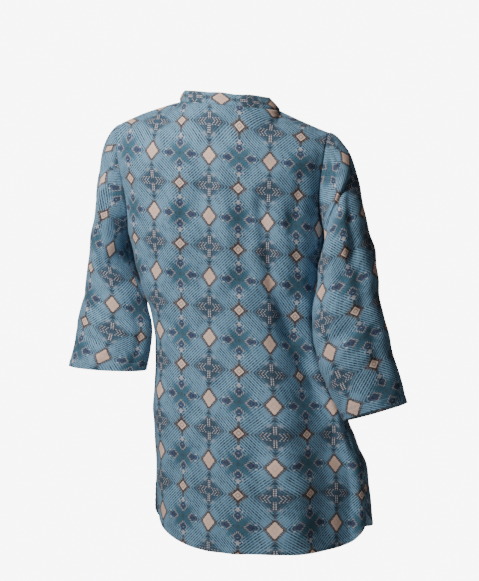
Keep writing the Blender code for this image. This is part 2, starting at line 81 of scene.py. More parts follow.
# Level sections of the torso: z, left and right extremes, back and front depth,
# x of the centre front, slope of the row, angle of the side seam from the centre back,
# and how far the right back side falls away from the full section
TORSO_COLUMNS = ("z", "left", "right", "back", "front", "centre", "slope", "seam", "away")
TORSO = (
    (-90, 219, -196, 103, 108, 3, 0.05, 90, 0),
    (-135, 208, -187, 107, 122, 2, 0.05, 90, 0),
    (-185, 194, -178, 107, 134, 1, 0.05, 90, 0),
    (-242, 186, -177, 103, 139, 0, 0.05, 90, 0),
    (-300, 174, -168, 97, 136, -3, 0.04, 89, 0),
    (-350, 157, -163, 92, 130, -6, 0.03, 87, 0.04),
    (-400, 142, -162, 91, 125, -9, 0.02, 84, 0.16),
    (-450, 136, -172, 96, 122, -12, 0.01, 81, 0.3),
    (-500, 138, -190, 105, 121, -15, 0.01, 79, 0.4),
    (-556, 139, -214, 116, 121, -18, 0, 77, 0.46),
    (-600, 136, -226, 123, 122, -20, 0, 75, 0.48),
    (-648, 132, -249, 128, 124, -22, 0, 73, 0.48),
    (-695, 131, -257, 131, 125, -24, 0, 73, 0.46),
    (-740, 131, -260, 132, 126, -25, 0, 73, 0.44),
    (-830, 131, -260, 132, 127, -26, 0, 73, 0.42),
)

BACK_EDGE = 63.5       # armhole edges at the chest, degrees from the centre back
FRONT_EDGE = 125.0
VENT_Z = -686.0        # the side seams end here
VENT_OPEN = 1.6        # degrees each edge stands off the seam line at the hem

HEM_BACK = -798.0
HEM_FRONT = -780.0

# Rise of the hem towards the left side (1) and the right one (-1): height and power
HEM_RISE = {("back", 1): (80.0, 3.0), ("back", -1): (45.0, 4.0),
            ("front", 1): (52.0, 3.0), ("front", -1): (46.0, 3.0)}

# Folds of the torso: two ends (x, z), half width, depth (minus is a trough)
FOLDS = {"back": (
    (-100, -335, -128, -455, 15, -6),
    (-128, -455, -176, -530, 14, -5),
    (-140, -330, -160, -440, 13, 4),
    (150, -215, 118, -330, 14, -4),
    (-20, -560, -40, -800, 26, 3.5),
    (-165, -620, -190, -800, 24, -5),
    (70, -600, 62, -800, 24, -3.5),
    # smaller creases, in the shown cloth alone
    (-75, -170, -97, -337, 11, -9),
    (-97, -337, -138, -443, 12, -8),
    (-138, -443, -186, -530, 12, -9),
    (-146, -190, -152, -400, 15, 4.5),
    (-108, -170, -124, -320, 12, 5),
    (-150, -120, -128, -235, 9, -2.5),
    (168, -120, 150, -225, 9, -2.5),
    (-112, -300, -150, -372, 8, -3.2),
    (-60, -392, -150, -425, 8, -2),
    (-86, -470, -160, -500, 8, 2.2),
    (118, -290, 56, -372, 10, -4.2),
    (122, -380, 50, -430, 10, -3.6),
    (128, -430, 76, -470, 9, -1.8),
    (30, -130, 34, -330, 14, -5.5),
    (-8, -120, -16, -300, 14, 5),
    (-48, -150, -52, -330, 11, -3.6),
    (78, -130, 86, -300, 14, 4.6),
    (64, -42, 118, -95, 9, -1.8),
    (-60, -50, -112, -110, 9, -1.8),
    (20, -20, 26, -90, 10, -1.2),
    (112, -520, 104, -790, 14, 3.6),
    (34, -500, 26, -800, 16, -4.2),
    (-72, -540, -84, -800, 14, -4),
    (-118, -590, -134, -800, 15, 4),
    (-226, -560, -238, -780, 10, -2.5),
    (-200, -640, -206, -780, 11, 4),
), "front": (
    (120, -300, 95, -760, 22, -4),
    (-130, -300, -150, -760, 22, -4),
    (60, -380, 50, -780, 24, 3.5),
    (-90, -420, -105, -780, 24, 3.5),
    # smaller creases, in the shown cloth alone
    (150, -200, 110, -300, 12, -2.5),
    (-140, -205, -105, -300, 12, -2.5),
    (90, -90, 130, -180, 12, -2),
    (-80, -95, -120, -180, 12, -2),
    (-150, -380, -90, -450, 9, -2),
    (120, -380, 60, -430, 9, -2),
    (60, -500, 66, -780, 14, -3.6),
    (-70, -480, -84, -780, 14, -3.8),
    (118, -540, 128, -780, 13, 3.4),
    (104, -150, 84, -330, 14, -3.2),
    (-100, -150, -76, -330, 14, -3.2),
    (-180, -560, -205, -770, 14, 2.5),
)}

# Sleeve rings below the armhole: centre, half sizes outward and backward, turn of the
# ring (its back end swings outward), and the lean of its plane (outer and back side up)
RING_COLUMNS = ("x", "y", "z", "out", "deep", "turn", "lean_out", "lean_back")
SLEEVE_LEFT = (
    (219, 4, -292, 37, 70, 14, 8, -4),
    (211.5, 24, -350, 58.5, 61, 10, 6, -8),
    (206.5, 42, -402, 70.5, 52, 4, 5, -10),
    (209, 54, -442, 71, 48, 0, 4, -8),
    (214, 62, -478, 72, 45, 0, 3, -4),
)
SLEEVE_RIGHT = (
    (-223, 48, -300, 50, 60, -20, 8, -8),
    (-225, 61, -372, 62, 54, -14, 8, -6),
    (-233, 65, -424, 66, 51, -8, 13, -2),
    (-252, 62, -490, 63, 49, -4, 16, 3),
    (-275, 54, -551, 57, 48, 0, 17, 6),
)
SLEEVE_ROWS_CAP = 8    # rows from the armhole to the first ring
SLEEVE_ROWS_TUBE = 13  # rows from the first ring to the cuff
# Millimetres of sleeve to a degree around and to a row down
SLEEVE_SPAN = np.array([1.1, 22.0])

# Folds along the sleeves: ends (place around in degrees, row), half width, depth
SLEEVE_FOLDS_LEFT = (
    (30, 4, 40, 6.2, 34, -11),
    (60, 1, 75, 9, 12, -4),
    (20, 11, 120, 13.5, 11, -3),
    (10, 15, 100, 16.5, 11, -2.5),
    (95, 2, 118, 10, 8, -3),
    (35, 1, 45, 6, 9, -2.6),
    (75, 0.6, 88, 4.5, 8, 2),
    (100, 10, 60, 13, 9, -2.6),
    (60, 12.5, 150, 15, 8, 2.6),
    (110, 16, 50, 19.5, 9, -2.4),
    (30, 17.5, 110, 18.5, 8, -1.8),
    (150, 12, 138, 20.5, 9, -3),
    (200, 5, 300, 9, 10, -2.5),
    (220, 11, 320, 13, 10, -3),
    (230, 14, 310, 15, 9, -2.4),
    (290, 1, 280, 7, 10, -2.2),
)
SLEEVE_FOLDS_RIGHT = (
    (330, 4.4, 323, 6.8, 34, -8),
    (8, 4, 128, 3.9, 5.5, -6),
    (20, 3.2, 124, 3.1, 9, 3),
    (14, 5.3, 120, 5, 10, 3),
    (20, 6.6, 80, 9, 10, -4),
    (38, 0.4, 44, 2.6, 6, -2.8),
    (54, 0.4, 62, 3, 8, -2.4),
    (78, 0.4, 86, 2.8, 7, -1.8),
    (46, 0.6, 53, 2.8, 5, 2),
    (66, 0.6, 74, 3, 6, 1.6),
    (30, 4, 40, 12, 15, -6),
    (88, 5.5, 92, 13, 14, 4.5),
    (110, 6, 128, 12, 8, -2.6),
    (20, 12, 110, 14.5, 12, -3.5),
    (45, 8, 100, 11, 8, 2),
    (36, 13, 52, 20, 14, -5),
    (92, 14.5, 84, 20.5, 13, 3.5),
    (120, 13, 108, 20, 9, -2.8),
    (38, 16.5, 120, 17.5, 8, -1.8),
    (210, 5, 300, 9, 10, -2.5),
    (230, 12, 320, 13.5, 10, -3),
    (220, 15, 310, 16, 9, -2.2),
    (290, 1, 285, 7, 10, -2.2),
)

BUTTON_RADIUS = 5.5
BUTTON_THICK = 2.0
BUTTON_CLEAR = 0.4     # gap between a button and the cloth behind it
# Heights of the centres of button_2 to button_8; button_1 is on the collar band
BUTTON_Z = (-108.0, -192.0, -280.0, -368.0, -456.0, -544.0, -632.0)


def smooth(x):
    x = min(max(x, 0), 1)
    return x * x * (3 - 2 * x)


def mix(a, b, f):
    return a + (b - a) * f


def unit(v):
    return v / max(np.linalg.norm(v), 1e-9)


def hermite(a, ta, b, tb, t):
    """Cubic from a to b that leaves along ta and arrives along tb."""
    t2 = t * t
    t3 = t2 * t
    return ((2 * t3 - 3 * t2 + 1) * a + (t3 - 2 * t2 + t) * ta
            + (3 * t2 - 2 * t3) * b + (t3 - t2) * tb)


def spline(rows, key, at):
    """Smooth value of each column of a table at one place of its key column."""
    rows = np.asarray(rows, float)
    keys = rows[:, key]
    if keys[0] > keys[-1]:
        rows = rows[::-1]
        keys = rows[:, key]
    at = min(max(at, keys[0]), keys[-1])
    i = min(max(int(np.searchsorted(keys, at)) - 1, 0), len(keys) - 2)
    width = keys[i + 1] - keys[i]
    t = (at - keys[i]) / width
    a = max(i - 1, 0)
    b = min(i + 2, len(keys) - 1)
    slope0 = (rows[i + 1] - rows[a]) / (keys[i + 1] - keys[a]) * width
    slope1 = (rows[b] - rows[i]) / (keys[b] - keys[i]) * width
    return hermite(rows[i], slope0, rows[i + 1], slope1, t)


def section(z):
    """One level of the torso, with the middle and the half of its width."""
    row = dict(zip(TORSO_COLUMNS, spline(TORSO, 0, z)))
    row["middle"] = (row["left"] + row["right"]) / 2
    row["half"] = (row["left"] - row["right"]) / 2
    return row


def sin_cos(degrees):
    turn = math.radians(degrees)
    return math.sin(turn), math.cos(turn)


def torso(angle, z):
    """Point of the torso at an angle from the centre back (left positive) and a height."""
    row = section(z)
    s, c = sin_cos(angle)
    size = (abs(s) ** SQUARE + abs(c) ** SQUARE) ** (1 / SQUARE)
    out = row["half"] * s / size
    y = (row["back"] if c > 0 else row["front"]) * c / size
    if s < 0 < c:
        far = -s / size
        away = smooth((far - 0.42) / 0.4) * (1 - 0.7 * smooth((far - 0.84) / 0.14))
        y *= 1 - row["away"] * away
    return np.array([row["middle"] + out, y, z + row["slope"] * out])


def centre_angle(z, side, past):
    """Angle of a line beside the centre front; past is measured over the other front."""
    row = section(z)
    x = row["centre"] - side * past - row["middle"]
    return side * (180.0 - side * math.degrees(math.asin(x / row["half"])))


def neck(turn):
    """Point of the neck seam, turn in degrees from the centre back, left positive."""
    s, c = sin_cos(turn)
    y = (NECK_BACK if c > 0 else NECK_FRONT) * c
    drop = NECK_BACK_DROP * c if c > 0 else NECK_FRONT_DROP * (-c) ** 1.7
    return np.array([NECK_HALF * s, y, NECK_TILT * s - drop])


def shoulder_seam(side, f):
    """Point of a shoulder seam, f running from the tip to the neck point."""
    p = mix(np.array(TIP[side]), neck(90.0 * side), f)
    p[2] += SHOULDER_BOW[side] * 4 * f * (1 - f)
    return p


def shoulder_patch(top, leave, foot_at, foot_z, f):
    """Cloth from the top edge down to the chest row, leaving the edge along leave."""
    foot = foot_at(foot_z)
    fall = unit(foot_at(foot_z - 12) - foot)
    span = np.linalg.norm(foot - top)
    return hermite(top, unit(leave) * span * 1.15, foot, fall * span * 1.05, f)


def armhole_drop(row):
    """Share of the way from the chest row to the foot of the armhole, and its curve."""
    turn = math.radians((row - ROW_CHEST) / (ROW_PIT - ROW_CHEST) * 90)
    fall = 0.75 * math.sin(turn) + 0.25 * turn / math.radians(90)
    return fall, math.cos(turn)


def fold(here, start, end, wide, deep, past, ease):
    """Depth of one fold at a place: past is how far it runs on beyond its two ends."""
    run = end - start
    length = np.linalg.norm(run)
    run = run / length
    rel = here - start
    along = float(rel @ run)
    off = float(rel[0] * run[1] - rel[1] * run[0])
    ends = smooth((along + past) / ease) * smooth((length + past - along) / ease)
    return deep * ends * math.exp(-(off / wide) ** 2)


def crease(panel, p, outward):
    """Move a point of the torso by the folds that pass near it."""
    move = 0
    for x0, z0, x1, z1, wide, deep in FOLDS[panel]:
        move += fold(p[::2], np.array([x0, z0]), np.array([x1, z1]), wide, deep, 25.0, 60.0)
    return p + outward * move


def radial(p, z):
    row = section(z)
    depth = row["back"] if p[1] > 0 else row["front"]
    out = (p[0] - row["middle"]) / row["half"] ** 2
    return unit(np.array([out, p[1] / depth ** 2, 0.0]))


def vent(z):
    return VENT_OPEN * smooth((VENT_Z - z) / (VENT_Z - HEM_FRONT))


def skirt_z(hem, row):
    """Height of a row below the armhole, on a column that ends at this hem height."""
    if row <= ROW_VENT:
        return mix(PIT_Z, VENT_Z, (row - ROW_PIT) / (ROW_VENT - ROW_PIT))
    return mix(VENT_Z, hem, (row - ROW_VENT) / (ROW_HEM - ROW_VENT))


def back_point(col, row):
    """Back panel; col runs 0 to 20 from the right edge to the left one, row 0 to 32."""
    last = 2 * SHOULDER + BACK_NECK
    u = 2 * col / last - 1
    side = 1 if u >= 0 else -1
    if row >= ROW_PIT:
        rise, power = HEM_RISE["back", side]
        hem = HEM_BACK + rise * abs(u) ** power
        z = skirt_z(hem, row)
        seam = section(z)["seam"] - vent(z)
        p = torso(u * seam, z)
    else:
        def foot_at(z):
            return torso(u * BACK_EDGE, z)

        if row > ROW_CHEST:
            fall, curve = armhole_drop(row)
            z = mix(BACK_CHEST_Z, PIT_Z, fall)
            p = torso(u * (90 - (90 - BACK_EDGE) * curve), z)
        else:
            if col < SHOULDER:
                f = col / SHOULDER
                top = shoulder_seam(-1, f)
            elif col > SHOULDER + BACK_NECK:
                f = (last - col) / SHOULDER
                top = shoulder_seam(1, f)
            else:
                turn = ((col - SHOULDER) / BACK_NECK * 2 - 1) * 90
                top = neck(turn)
                f = 1 + math.cos(math.radians(turn))
            steep = smooth((f - 0.6) / 1.4)
            leave = np.array([0.25 * u * steep, mix(0.92, 0.5, steep), mix(-0.38, -0.85, steep)])
            z = BACK_CHEST_Z
            p = shoulder_patch(top, leave, foot_at, z, row / ROW_CHEST)
    return crease("back", p, radial(p, p[2]))


def past_centre(col):
    """How far a column of a front lies past the centre front, minus before it."""
    part = max(col - (SHOULDER + FRONT_NECK), 0)
    i = min(int(part), 2)
    return mix(STAND[i], STAND[i + 1], part - i)


def neck_turn(col):
    """Turn of a front's column on the neck seam, in degrees from the centre back."""
    end = 180 + math.degrees(math.asin(past_centre(col) / NECK_HALF))
    return mix(90, end, min((col - SHOULDER) / FRONT_NECK, 1))


def off_lower(past):
    """How far the upper front stands off the lower one at one of its columns."""
    return LIFT * smooth((past - STAND[0]) / (STAND[1] - STAND[0]))


def front_point(side, col, row):
    """Front panel; side +1 is the wearer's left. col 0 is the side, 14 the front edge."""
    past = past_centre(col)
    share = min(col / (SHOULDER + FRONT_NECK), 1)

    def angle_at(edge, z):
        inner = centre_angle(z, side, past) * side
        return side * mix(edge, inner, share)

    chest_z = mix(-116, -168, smooth(share))
    if row >= ROW_PIT:
        rise, power = HEM_RISE["front", side]
        hem = HEM_FRONT + rise * (1 - share) ** power
        z = skirt_z(hem, row)
        p = torso(angle_at(section(z)["seam"] + vent(z), z), z)
    elif row > ROW_CHEST:
        fall, curve = armhole_drop(row)
        z = mix(chest_z, PIT_Z, fall)
        p = torso(angle_at(90 + (FRONT_EDGE - 90) * curve, z), z)
    else:
        def foot_at(z):
            return torso(angle_at(FRONT_EDGE, z), z)

        if col < SHOULDER:
            top = shoulder_seam(side, col / SHOULDER)
            steep = 0
        else:
            turn = neck_turn(col)
            top = neck(turn * side)
            steep = smooth((turn - 90) / 70)
        leave = np.array([side * 0.2 * steep * (1 - share), mix(-0.9, -0.45, steep),
                          mix(-0.42, -0.88, steep)])
        p = shoulder_patch(top, leave, foot_at, chest_z, row / ROW_CHEST)
    p = crease("front", p, radial(p, p[2]))
    if side < 0:
        p[1] -= off_lower(past)
    return p


def collar_point(col, row):
    """Band collar; col 0 is its left end at the front, 28 its right end, row 0 the seam."""
    fronts = FRONT_NECK + 3
    from_end = min(col, COLLAR_COLUMNS - col)
    side = 0
    if from_end <= fronts:
        side = 1 if col <= fronts else -1
        panel_col = SHOULDER + fronts - from_end
        base = front_point(side, panel_col, 0)
        turn = side * neck_turn(panel_col)
    else:
        back_col = SHOULDER + BACK_NECK - (col - fronts)
        base = back_point(back_col, 0)
        turn = ((back_col - SHOULDER) / BACK_NECK * 2 - 1) * 90
    s, c = sin_cos(turn)
    top = np.array([COLLAR_SHIFT + COLLAR_HALF * s,
                    (COLLAR_BACK if c > 0 else COLLAR_FRONT) * c,
                    base[2] + COLLAR_RISE - 2 * s * (1 if c > 0 else 1 + c)])
    if side < 0:
        top[1] -= off_lower(past_centre(panel_col))
    f = row / 3
    p = mix(base, top, f)
    bow = 2 * math.sin(math.pi * f)
    return p + np.array([s * bow, c * bow, 0.0])


def armhole_point(side, place):
    """Armhole seam; place 0 is the shoulder tip, 12 the armpit, 24 the tip again."""
    if place <= ROW_PIT:
        return back_point(2 * SHOULDER + BACK_NECK if side > 0 else 0, place)
    return front_point(side, 0, 2 * ROW_PIT - place)


def ring_point(side, ring, place):
    """Point of one sleeve ring; place counts as around the armhole."""
    g = dict(zip(RING_COLUMNS, ring))
    around = math.radians(place * 15)
    swing = math.radians(g["turn"])
    wide = g["out"] * math.cos(around)
    deep = g["deep"] * math.sin(around)
    out = wide * math.cos(swing) + deep * math.sin(swing)
    back = deep * math.cos(swing) - wide * math.sin(swing)
    lift = (out * math.tan(math.radians(g["lean_out"]))
            + back * math.tan(math.radians(g["lean_back"])))
    return np.array([g["x"] + side * out, g["y"] + back, g["z"] + lift])


def sleeve_point(side, place, row):
    """Sleeve; row 0 is the armhole seam, 8 the first ring, 21 the cuff edge."""
    rings = SLEEVE_LEFT if side > 0 else SLEEVE_RIGHT
    place = place % 24
    turn = math.radians(place * 15)
    if row < SLEEVE_ROWS_CAP:
        seam = armhole_point(side, place)
        ring = ring_point(side, rings[0], place)
        under = 0.5 - 0.5 * math.cos(turn)
        leave = unit(np.array([side * mix(0.9, 0.62, under), 0.1 * math.sin(turn),
                               mix(-0.42, -0.8, under)]))
        fall = ring_point(side, rings[1], place) - ring
        span = np.linalg.norm(ring - seam)
        # the outer line leaves the seam sideways and turns down in a short round
        first = leave * span * 0.75
        second = unit(fall) * span * mix(1.6, 0.9, under)
        p = hermite(seam, first, ring, second, row / SLEEVE_ROWS_CAP)
        away = unit(p - np.array([rings[0][0] - side * 30.0, rings[0][1] - 10.0, p[2]]))
    else:
        f = (row - SLEEVE_ROWS_CAP) / SLEEVE_ROWS_TUBE * (len(rings) - 1)
        table = [(float(i),) + tuple(r) for i, r in enumerate(rings)]
        g = spline(table, 0, f)[1:]
        p = ring_point(side, g, place)
        away = unit(p - np.array([g[0], g[1], p[2]]))
    folds = SLEEVE_FOLDS_LEFT if side > 0 else SLEEVE_FOLDS_RIGHT
    here = np.array([place * 15.0, row]) * SLEEVE_SPAN
    move = 0
    for a0, r0, a1, r1, wide, deep in folds:
        start, end = np.array([[a0, r0], [a1, r1]]) * SLEEVE_SPAN
        move += fold(here, start, end, wide, deep, 15, 40)
    return p + away * move * smooth(row / 1.5)


SHEET = 0.9            # wall of the shown cloth
BAND = 1.5             # wall of the collar, which is two layers
FAR = 1000.0           # stands for a distance that doesn't matter
FLAT_ROW = 0.105       # the printed rows fall this much towards the wearer's right
PRINT_ACROSS = 0.1087  # repeat of the print, across and along the cloth
PRINT_ALONG = 0.1075
ROW_OF_DIAMONDS = 205.6     # how far down a row of large lozenges lies
# The back's middle line of lozenges: how far left of the middle it is seen from the
# photo's side, its x, and the sine and cosine of that side's turn from straight behind
LINE_SEEN = 36.5
LINE_X = 16.0
VIEW_SIN = 0.208
VIEW_COS = 0.978
UNMATCHED = 0.019      # the left front's print starts this much higher
# Print on a sleeve: place of a line of large lozenges, its start, slope of its rows and of
# its lines, and stretch
PRINT_SLEEVE = {1: (7.45, -65.0, 0.2, 0.24, 1.0), -1: (7.9, -30.4, 0.22, 0.0, 0.84)}
HAND = {1: "left", -1: "right"}
# Stitch lines: how far each is from the edge that it holds
STITCH = {"hem": 9.0, "cuff": 14.0, "placket": 26.0}

# Mesh lines: the usual step, and closer ones beside a side edge and at the vent and hem
STEP = 0.25
NEAR_SIDE = (0.04, 0.1, 0.18)
NEAR_HEM = (27.04, 27.1, 31.0, 31.2, 31.4, 31.5, 31.58, 31.64, 31.7, 31.8, 31.9)


def marks(count, near=(), edges=True):
    """Mesh lines of a panel: every step, and closer beside its two edges."""
    out = set(np.round(np.arange(0, count + STEP / 2, STEP), 4)) | set(near)
    if edges:
        for d in NEAR_SIDE:
            out |= {d, round(count - d, 4)}
    return sorted(min(float(v), float(count)) for v in out)


def lengths(g, axis):
    """Distance along the cloth from the first line, in millimetres."""
    step = np.linalg.norm(np.diff(g, axis=axis), axis=2)
    start = np.zeros_like(np.take(step, [0], axis=axis))
    return np.concatenate([start, np.cumsum(step, axis=axis)], axis=axis)


def metres(u, v):
    """Map coordinates from two arrays of millimetres."""
    return np.stack([u, v], axis=-1) * MM


def points(point, cols, rows):
    return np.array([[point(c, r) for c in cols] for r in rows])


def grid_normals(g, closed):
    """Vertex normals of a grid; a closed one repeats its first column at the end."""
    n = np.zeros_like(g)
    face = np.cross(g[1:, 1:] - g[:-1, :-1], g[1:, :-1] - g[:-1, 1:])
    n[:-1, :-1] += face
    n[:-1, 1:] += face
    n[1:, 1:] += face
    n[1:, :-1] += face
    if closed:
        n[:, 0] += n[:, -1]
        n[:, -1] = n[:, 0]
    return n / np.maximum(np.linalg.norm(n, axis=2, keepdims=True), 1e-9)


def ripple(g):
    """Soft unevenness of hanging cloth, in millimetres, from a few crossing waves."""
    x, y, z = g[..., 0], g[..., 1], g[..., 2]
    slow = 0.5 + 0.5 * np.sin(x / 61 + 1.3 * np.sin(z / 83) + y / 90)
    fine = np.sin(x / 9.5 + z / 33 + 1.7 * np.sin(z / 47)) * np.sin(z / 29 - x / 71)
    cross = np.sin(z / 12.5 + x / 21 + 1.4 * np.sin(x / 39)) * np.sin(x / 33 + z / 55)
    return 2.3 * slow * fine + 1.7 * (1 - slow) * cross


def add_object(name, data):
    obj = bpy.data.objects.new(name, data)
    bpy.context.scene.collection.objects.link(obj)
    return obj


def make_object(name, bm, materials, sharp=None):
    """An object from a finished mesh; sharp is the angle above which edges stay sharp."""
    mesh = bpy.data.meshes.new(name)
    bm.to_mesh(mesh)
    bm.free()
    for mat in materials:
        mesh.materials.append(mat)
    if sharp is not None:
        mesh.shade_smooth()
        mesh.set_sharp_from_angle(angle=math.radians(sharp))
    return add_object(name, mesh)


def cloth(name, g, closed, print_uv, edge_uv, hem, seam, thick=SHEET):
    """A sheet of cloth from a grid of its outer points.

    hem and seam are how far each point is from a turned edge and from a seam line. The
    turned edge is doubled, so it stands a little proud; the seam line sinks a little.
    """
    n = grid_normals(g, closed)
    # a tube's outer side faces away from its own middle, a panel's from the torso's
    centre = g.reshape(-1, 3).mean(axis=0)
    if not closed:
        centre = np.array([-20.0, 0.0, centre[2]])
    turned = ((g - centre) * n)[..., :2].sum() < 0
    if turned:
        n = -n
    run = edge_uv[..., 0] / MM
    rise = ripple(g)
    wave = np.sin(run / 1.5 + 2 * np.sin(run / 13)) * (0.6 + 0.4 * np.sin(run / 37))
    rise += 0.5 * wave * np.exp(-(hem / 11) ** 2)
    rise += 0.55 * np.clip((STITCH["hem"] + 0.6 - hem) / 1.2, 0.0, 1.0)
    rise -= 0.35 * np.exp(-((hem - STITCH["hem"]) / 1.2) ** 2)
    rise *= np.clip(seam / 12, 0, 1)
    rise += 0.35 * wave * np.exp(-((seam - 4) / 4) ** 2)
    rise -= np.exp(-(seam / 1.9) ** 2)
    rise += 0.35 * np.exp(-((seam - 5) / 2.5) ** 2)
    outer = g + n * rise[..., None]
    inner = outer - n * thick
    rows, cols = g.shape[:2]
    wide = cols - 1 if closed else cols
    ids = np.arange(rows * wide).reshape(rows, wide)
    if closed:
        ids = np.concatenate([ids, ids[:, :1]], axis=1)
    half = rows * wide
    verts = np.concatenate([outer[:, :wide].reshape(-1, 3), inner[:, :wide].reshape(-1, 3)])
    flat = np.arange(rows * cols).reshape(rows, cols)

    def walls(at, deep):
        # deep is added to the places of the inner layer
        a, b, c, d = at[:-1, :-1], at[:-1, 1:], at[1:, 1:], at[1:, :-1]
        quads = [np.stack([a, d, c, b], axis=-1).reshape(-1, 4),
                 np.stack([a, b, c, d], axis=-1).reshape(-1, 4) + deep]
        rims = [at[0], at[-1, ::-1]] + ([] if closed else [at[::-1, 0], at[:, -1]])
        for line in rims:
            p, q = line[:-1], line[1:]
            quads.append(np.stack([p, q, q + deep, p + deep], axis=-1))
        return np.concatenate(quads)

    faces = walls(ids, half)
    uvs = walls(flat, 0)
    if turned:
        faces = faces[:, ::-1]
        uvs = uvs[:, ::-1]
    mesh = bpy.data.meshes.new(name)
    mesh.from_pydata((verts * MM).tolist(), [], faces.tolist())
    for layer_name, values in (("print", print_uv), ("edge", edge_uv)):
        corners = values.reshape(-1, 2)[uvs.reshape(-1)]
        layer = mesh.uv_layers.new(name=layer_name)
        layer.data.foreach_set("uv", corners.astype(np.float32).ravel())
    # one layer of quads outside, as many inside, then the rims, which are outside cloth
    index = np.zeros(len(faces), dtype=np.int32)
    layer_quads = (rows - 1) * (cols - 1)
    index[layer_quads:2 * layer_quads] = 1
    mesh.polygons.foreach_set("material_index", index)
    bm = bmesh.new()
    bm.from_mesh(mesh)
    bpy.data.meshes.remove(mesh)
    bmesh.ops.recalc_face_normals(bm, faces=bm.faces)
    return make_object(name, bm, (OUTSIDE, INSIDE), 60)


def plug(value, socket):
    """Link a field or an output to an input, or set the input to a constant."""
    if isinstance(value, Field):
        value = value.socket
    if isinstance(value, bpy.types.NodeSocket):
        Field.tree.links.new(value, socket)
    else:
        socket.default_value = value


def shader_node(kind, inputs, **settings):
    """A node in the material being built, with its settings and its inputs."""
    node = Field.tree.nodes.new("ShaderNode" + kind)
    for key, value in settings.items():
        setattr(node, key, value)
    for key, value in inputs.items():
        plug(value, node.inputs[key])
    return node


def maths(operation, swapped=False):
    """A method that joins a field and other values by one maths node."""
    def method(self, *others):
        values = (*others, self) if swapped else (self, *others)
        node = shader_node("Math", dict(enumerate(values)), operation=operation)
        return Field(node.outputs[0])
    return method


class Field:
    """A number that varies over the cloth, as an output of the material being built."""
    tree = None

    def __init__(self, socket):
        self.socket = socket

    __add__ = __radd__ = maths("ADD")
    __sub__ = maths("SUBTRACT")
    __rsub__ = maths("SUBTRACT", True)
    __mul__ = __rmul__ = maths("MULTIPLY")
    __truediv__ = maths("DIVIDE")
    __abs__ = maths("ABSOLUTE")
    floor = maths("FLOOR")
    fract = maths("FRACT")
    below = maths("LESS_THAN")
    above = maths("GREATER_THAN")
    larger = maths("MAXIMUM")

    def ramp(self, low, high):
        """0 at low, 1 at high, smooth between; low may be the larger one."""
        rising = low < high
        node = shader_node("MapRange", {
            "Value": self, "From Min": min(low, high), "From Max": max(low, high),
            "To Min": 0.0 if rising else 1.0, "To Max": 1.0 if rising else 0.0,
        }, interpolation_type="SMOOTHSTEP", clamp=True)
        return Field(node.outputs["Result"])


def both(*parts):
    """Where all of the parts are."""
    total = parts[0]
    for part in parts[1:]:
        total = total * part
    return total


def teeth(x):
    """A zigzag: 0.5 at each whole x, 0 midway between."""
    return abs(x.fract() - 0.5)


def noise(vector, scale, detail=2.0):
    node = shader_node("TexNoise", {"Vector": vector, "Scale": scale, "Detail": detail})
    return Field(node.outputs["Fac"])


def hashed(a, b):
    """A random number from 0 to 1 for each pair of whole numbers."""
    pair = shader_node("CombineXYZ", {0: a, 1: b}).outputs[0]
    node = shader_node("TexWhiteNoise", {"Vector": pair}, noise_dimensions="2D")
    return Field(node.outputs["Value"])


def srgb(*levels):
    shares = [level / 255 for level in levels]
    return tuple(c / 12.92 if c <= 0.04045 else ((c + 0.055) / 1.055) ** 2.4
                 for c in shares) + (1.0,)


def blend_colour(factor, low, high):
    # inputs 6 and 7 and output 2 are the node's colours
    node = shader_node("Mix", {0: factor}, data_type="RGBA", clamp_factor=True)
    plug(low, node.inputs[6])
    plug(high, node.inputs[7])
    return node.outputs[2]


# Colours of the print
LIGHT = srgb(134, 192, 226)
PATCH = srgb(124, 178, 212)
HATCH = srgb(2, 40, 68)
TEAL = srgb(8, 78, 100)
DEEP = srgb(10, 64, 88)
NAVY = srgb(30, 56, 96)
PLUM = srgb(34, 52, 92)
CREAM = srgb(250, 216, 198)
CREAM_SHADE = srgb(212, 172, 152)
TAN = srgb(122, 112, 108)
BROWN = srgb(46, 44, 52)
DOT = srgb(226, 226, 236)
AMBER = srgb(196, 196, 196)
HEART = srgb(30, 74, 84)
ARM = srgb(20, 100, 126)
UNDERSIDE = srgb(150, 172, 188)    # blended over the print on the reverse
THREAD = srgb(120, 150, 176)

# Weave and stitches, in metres
YARN = 0.0011
THREAD_HALF = 0.00042
STITCH_LONG = 0.0031


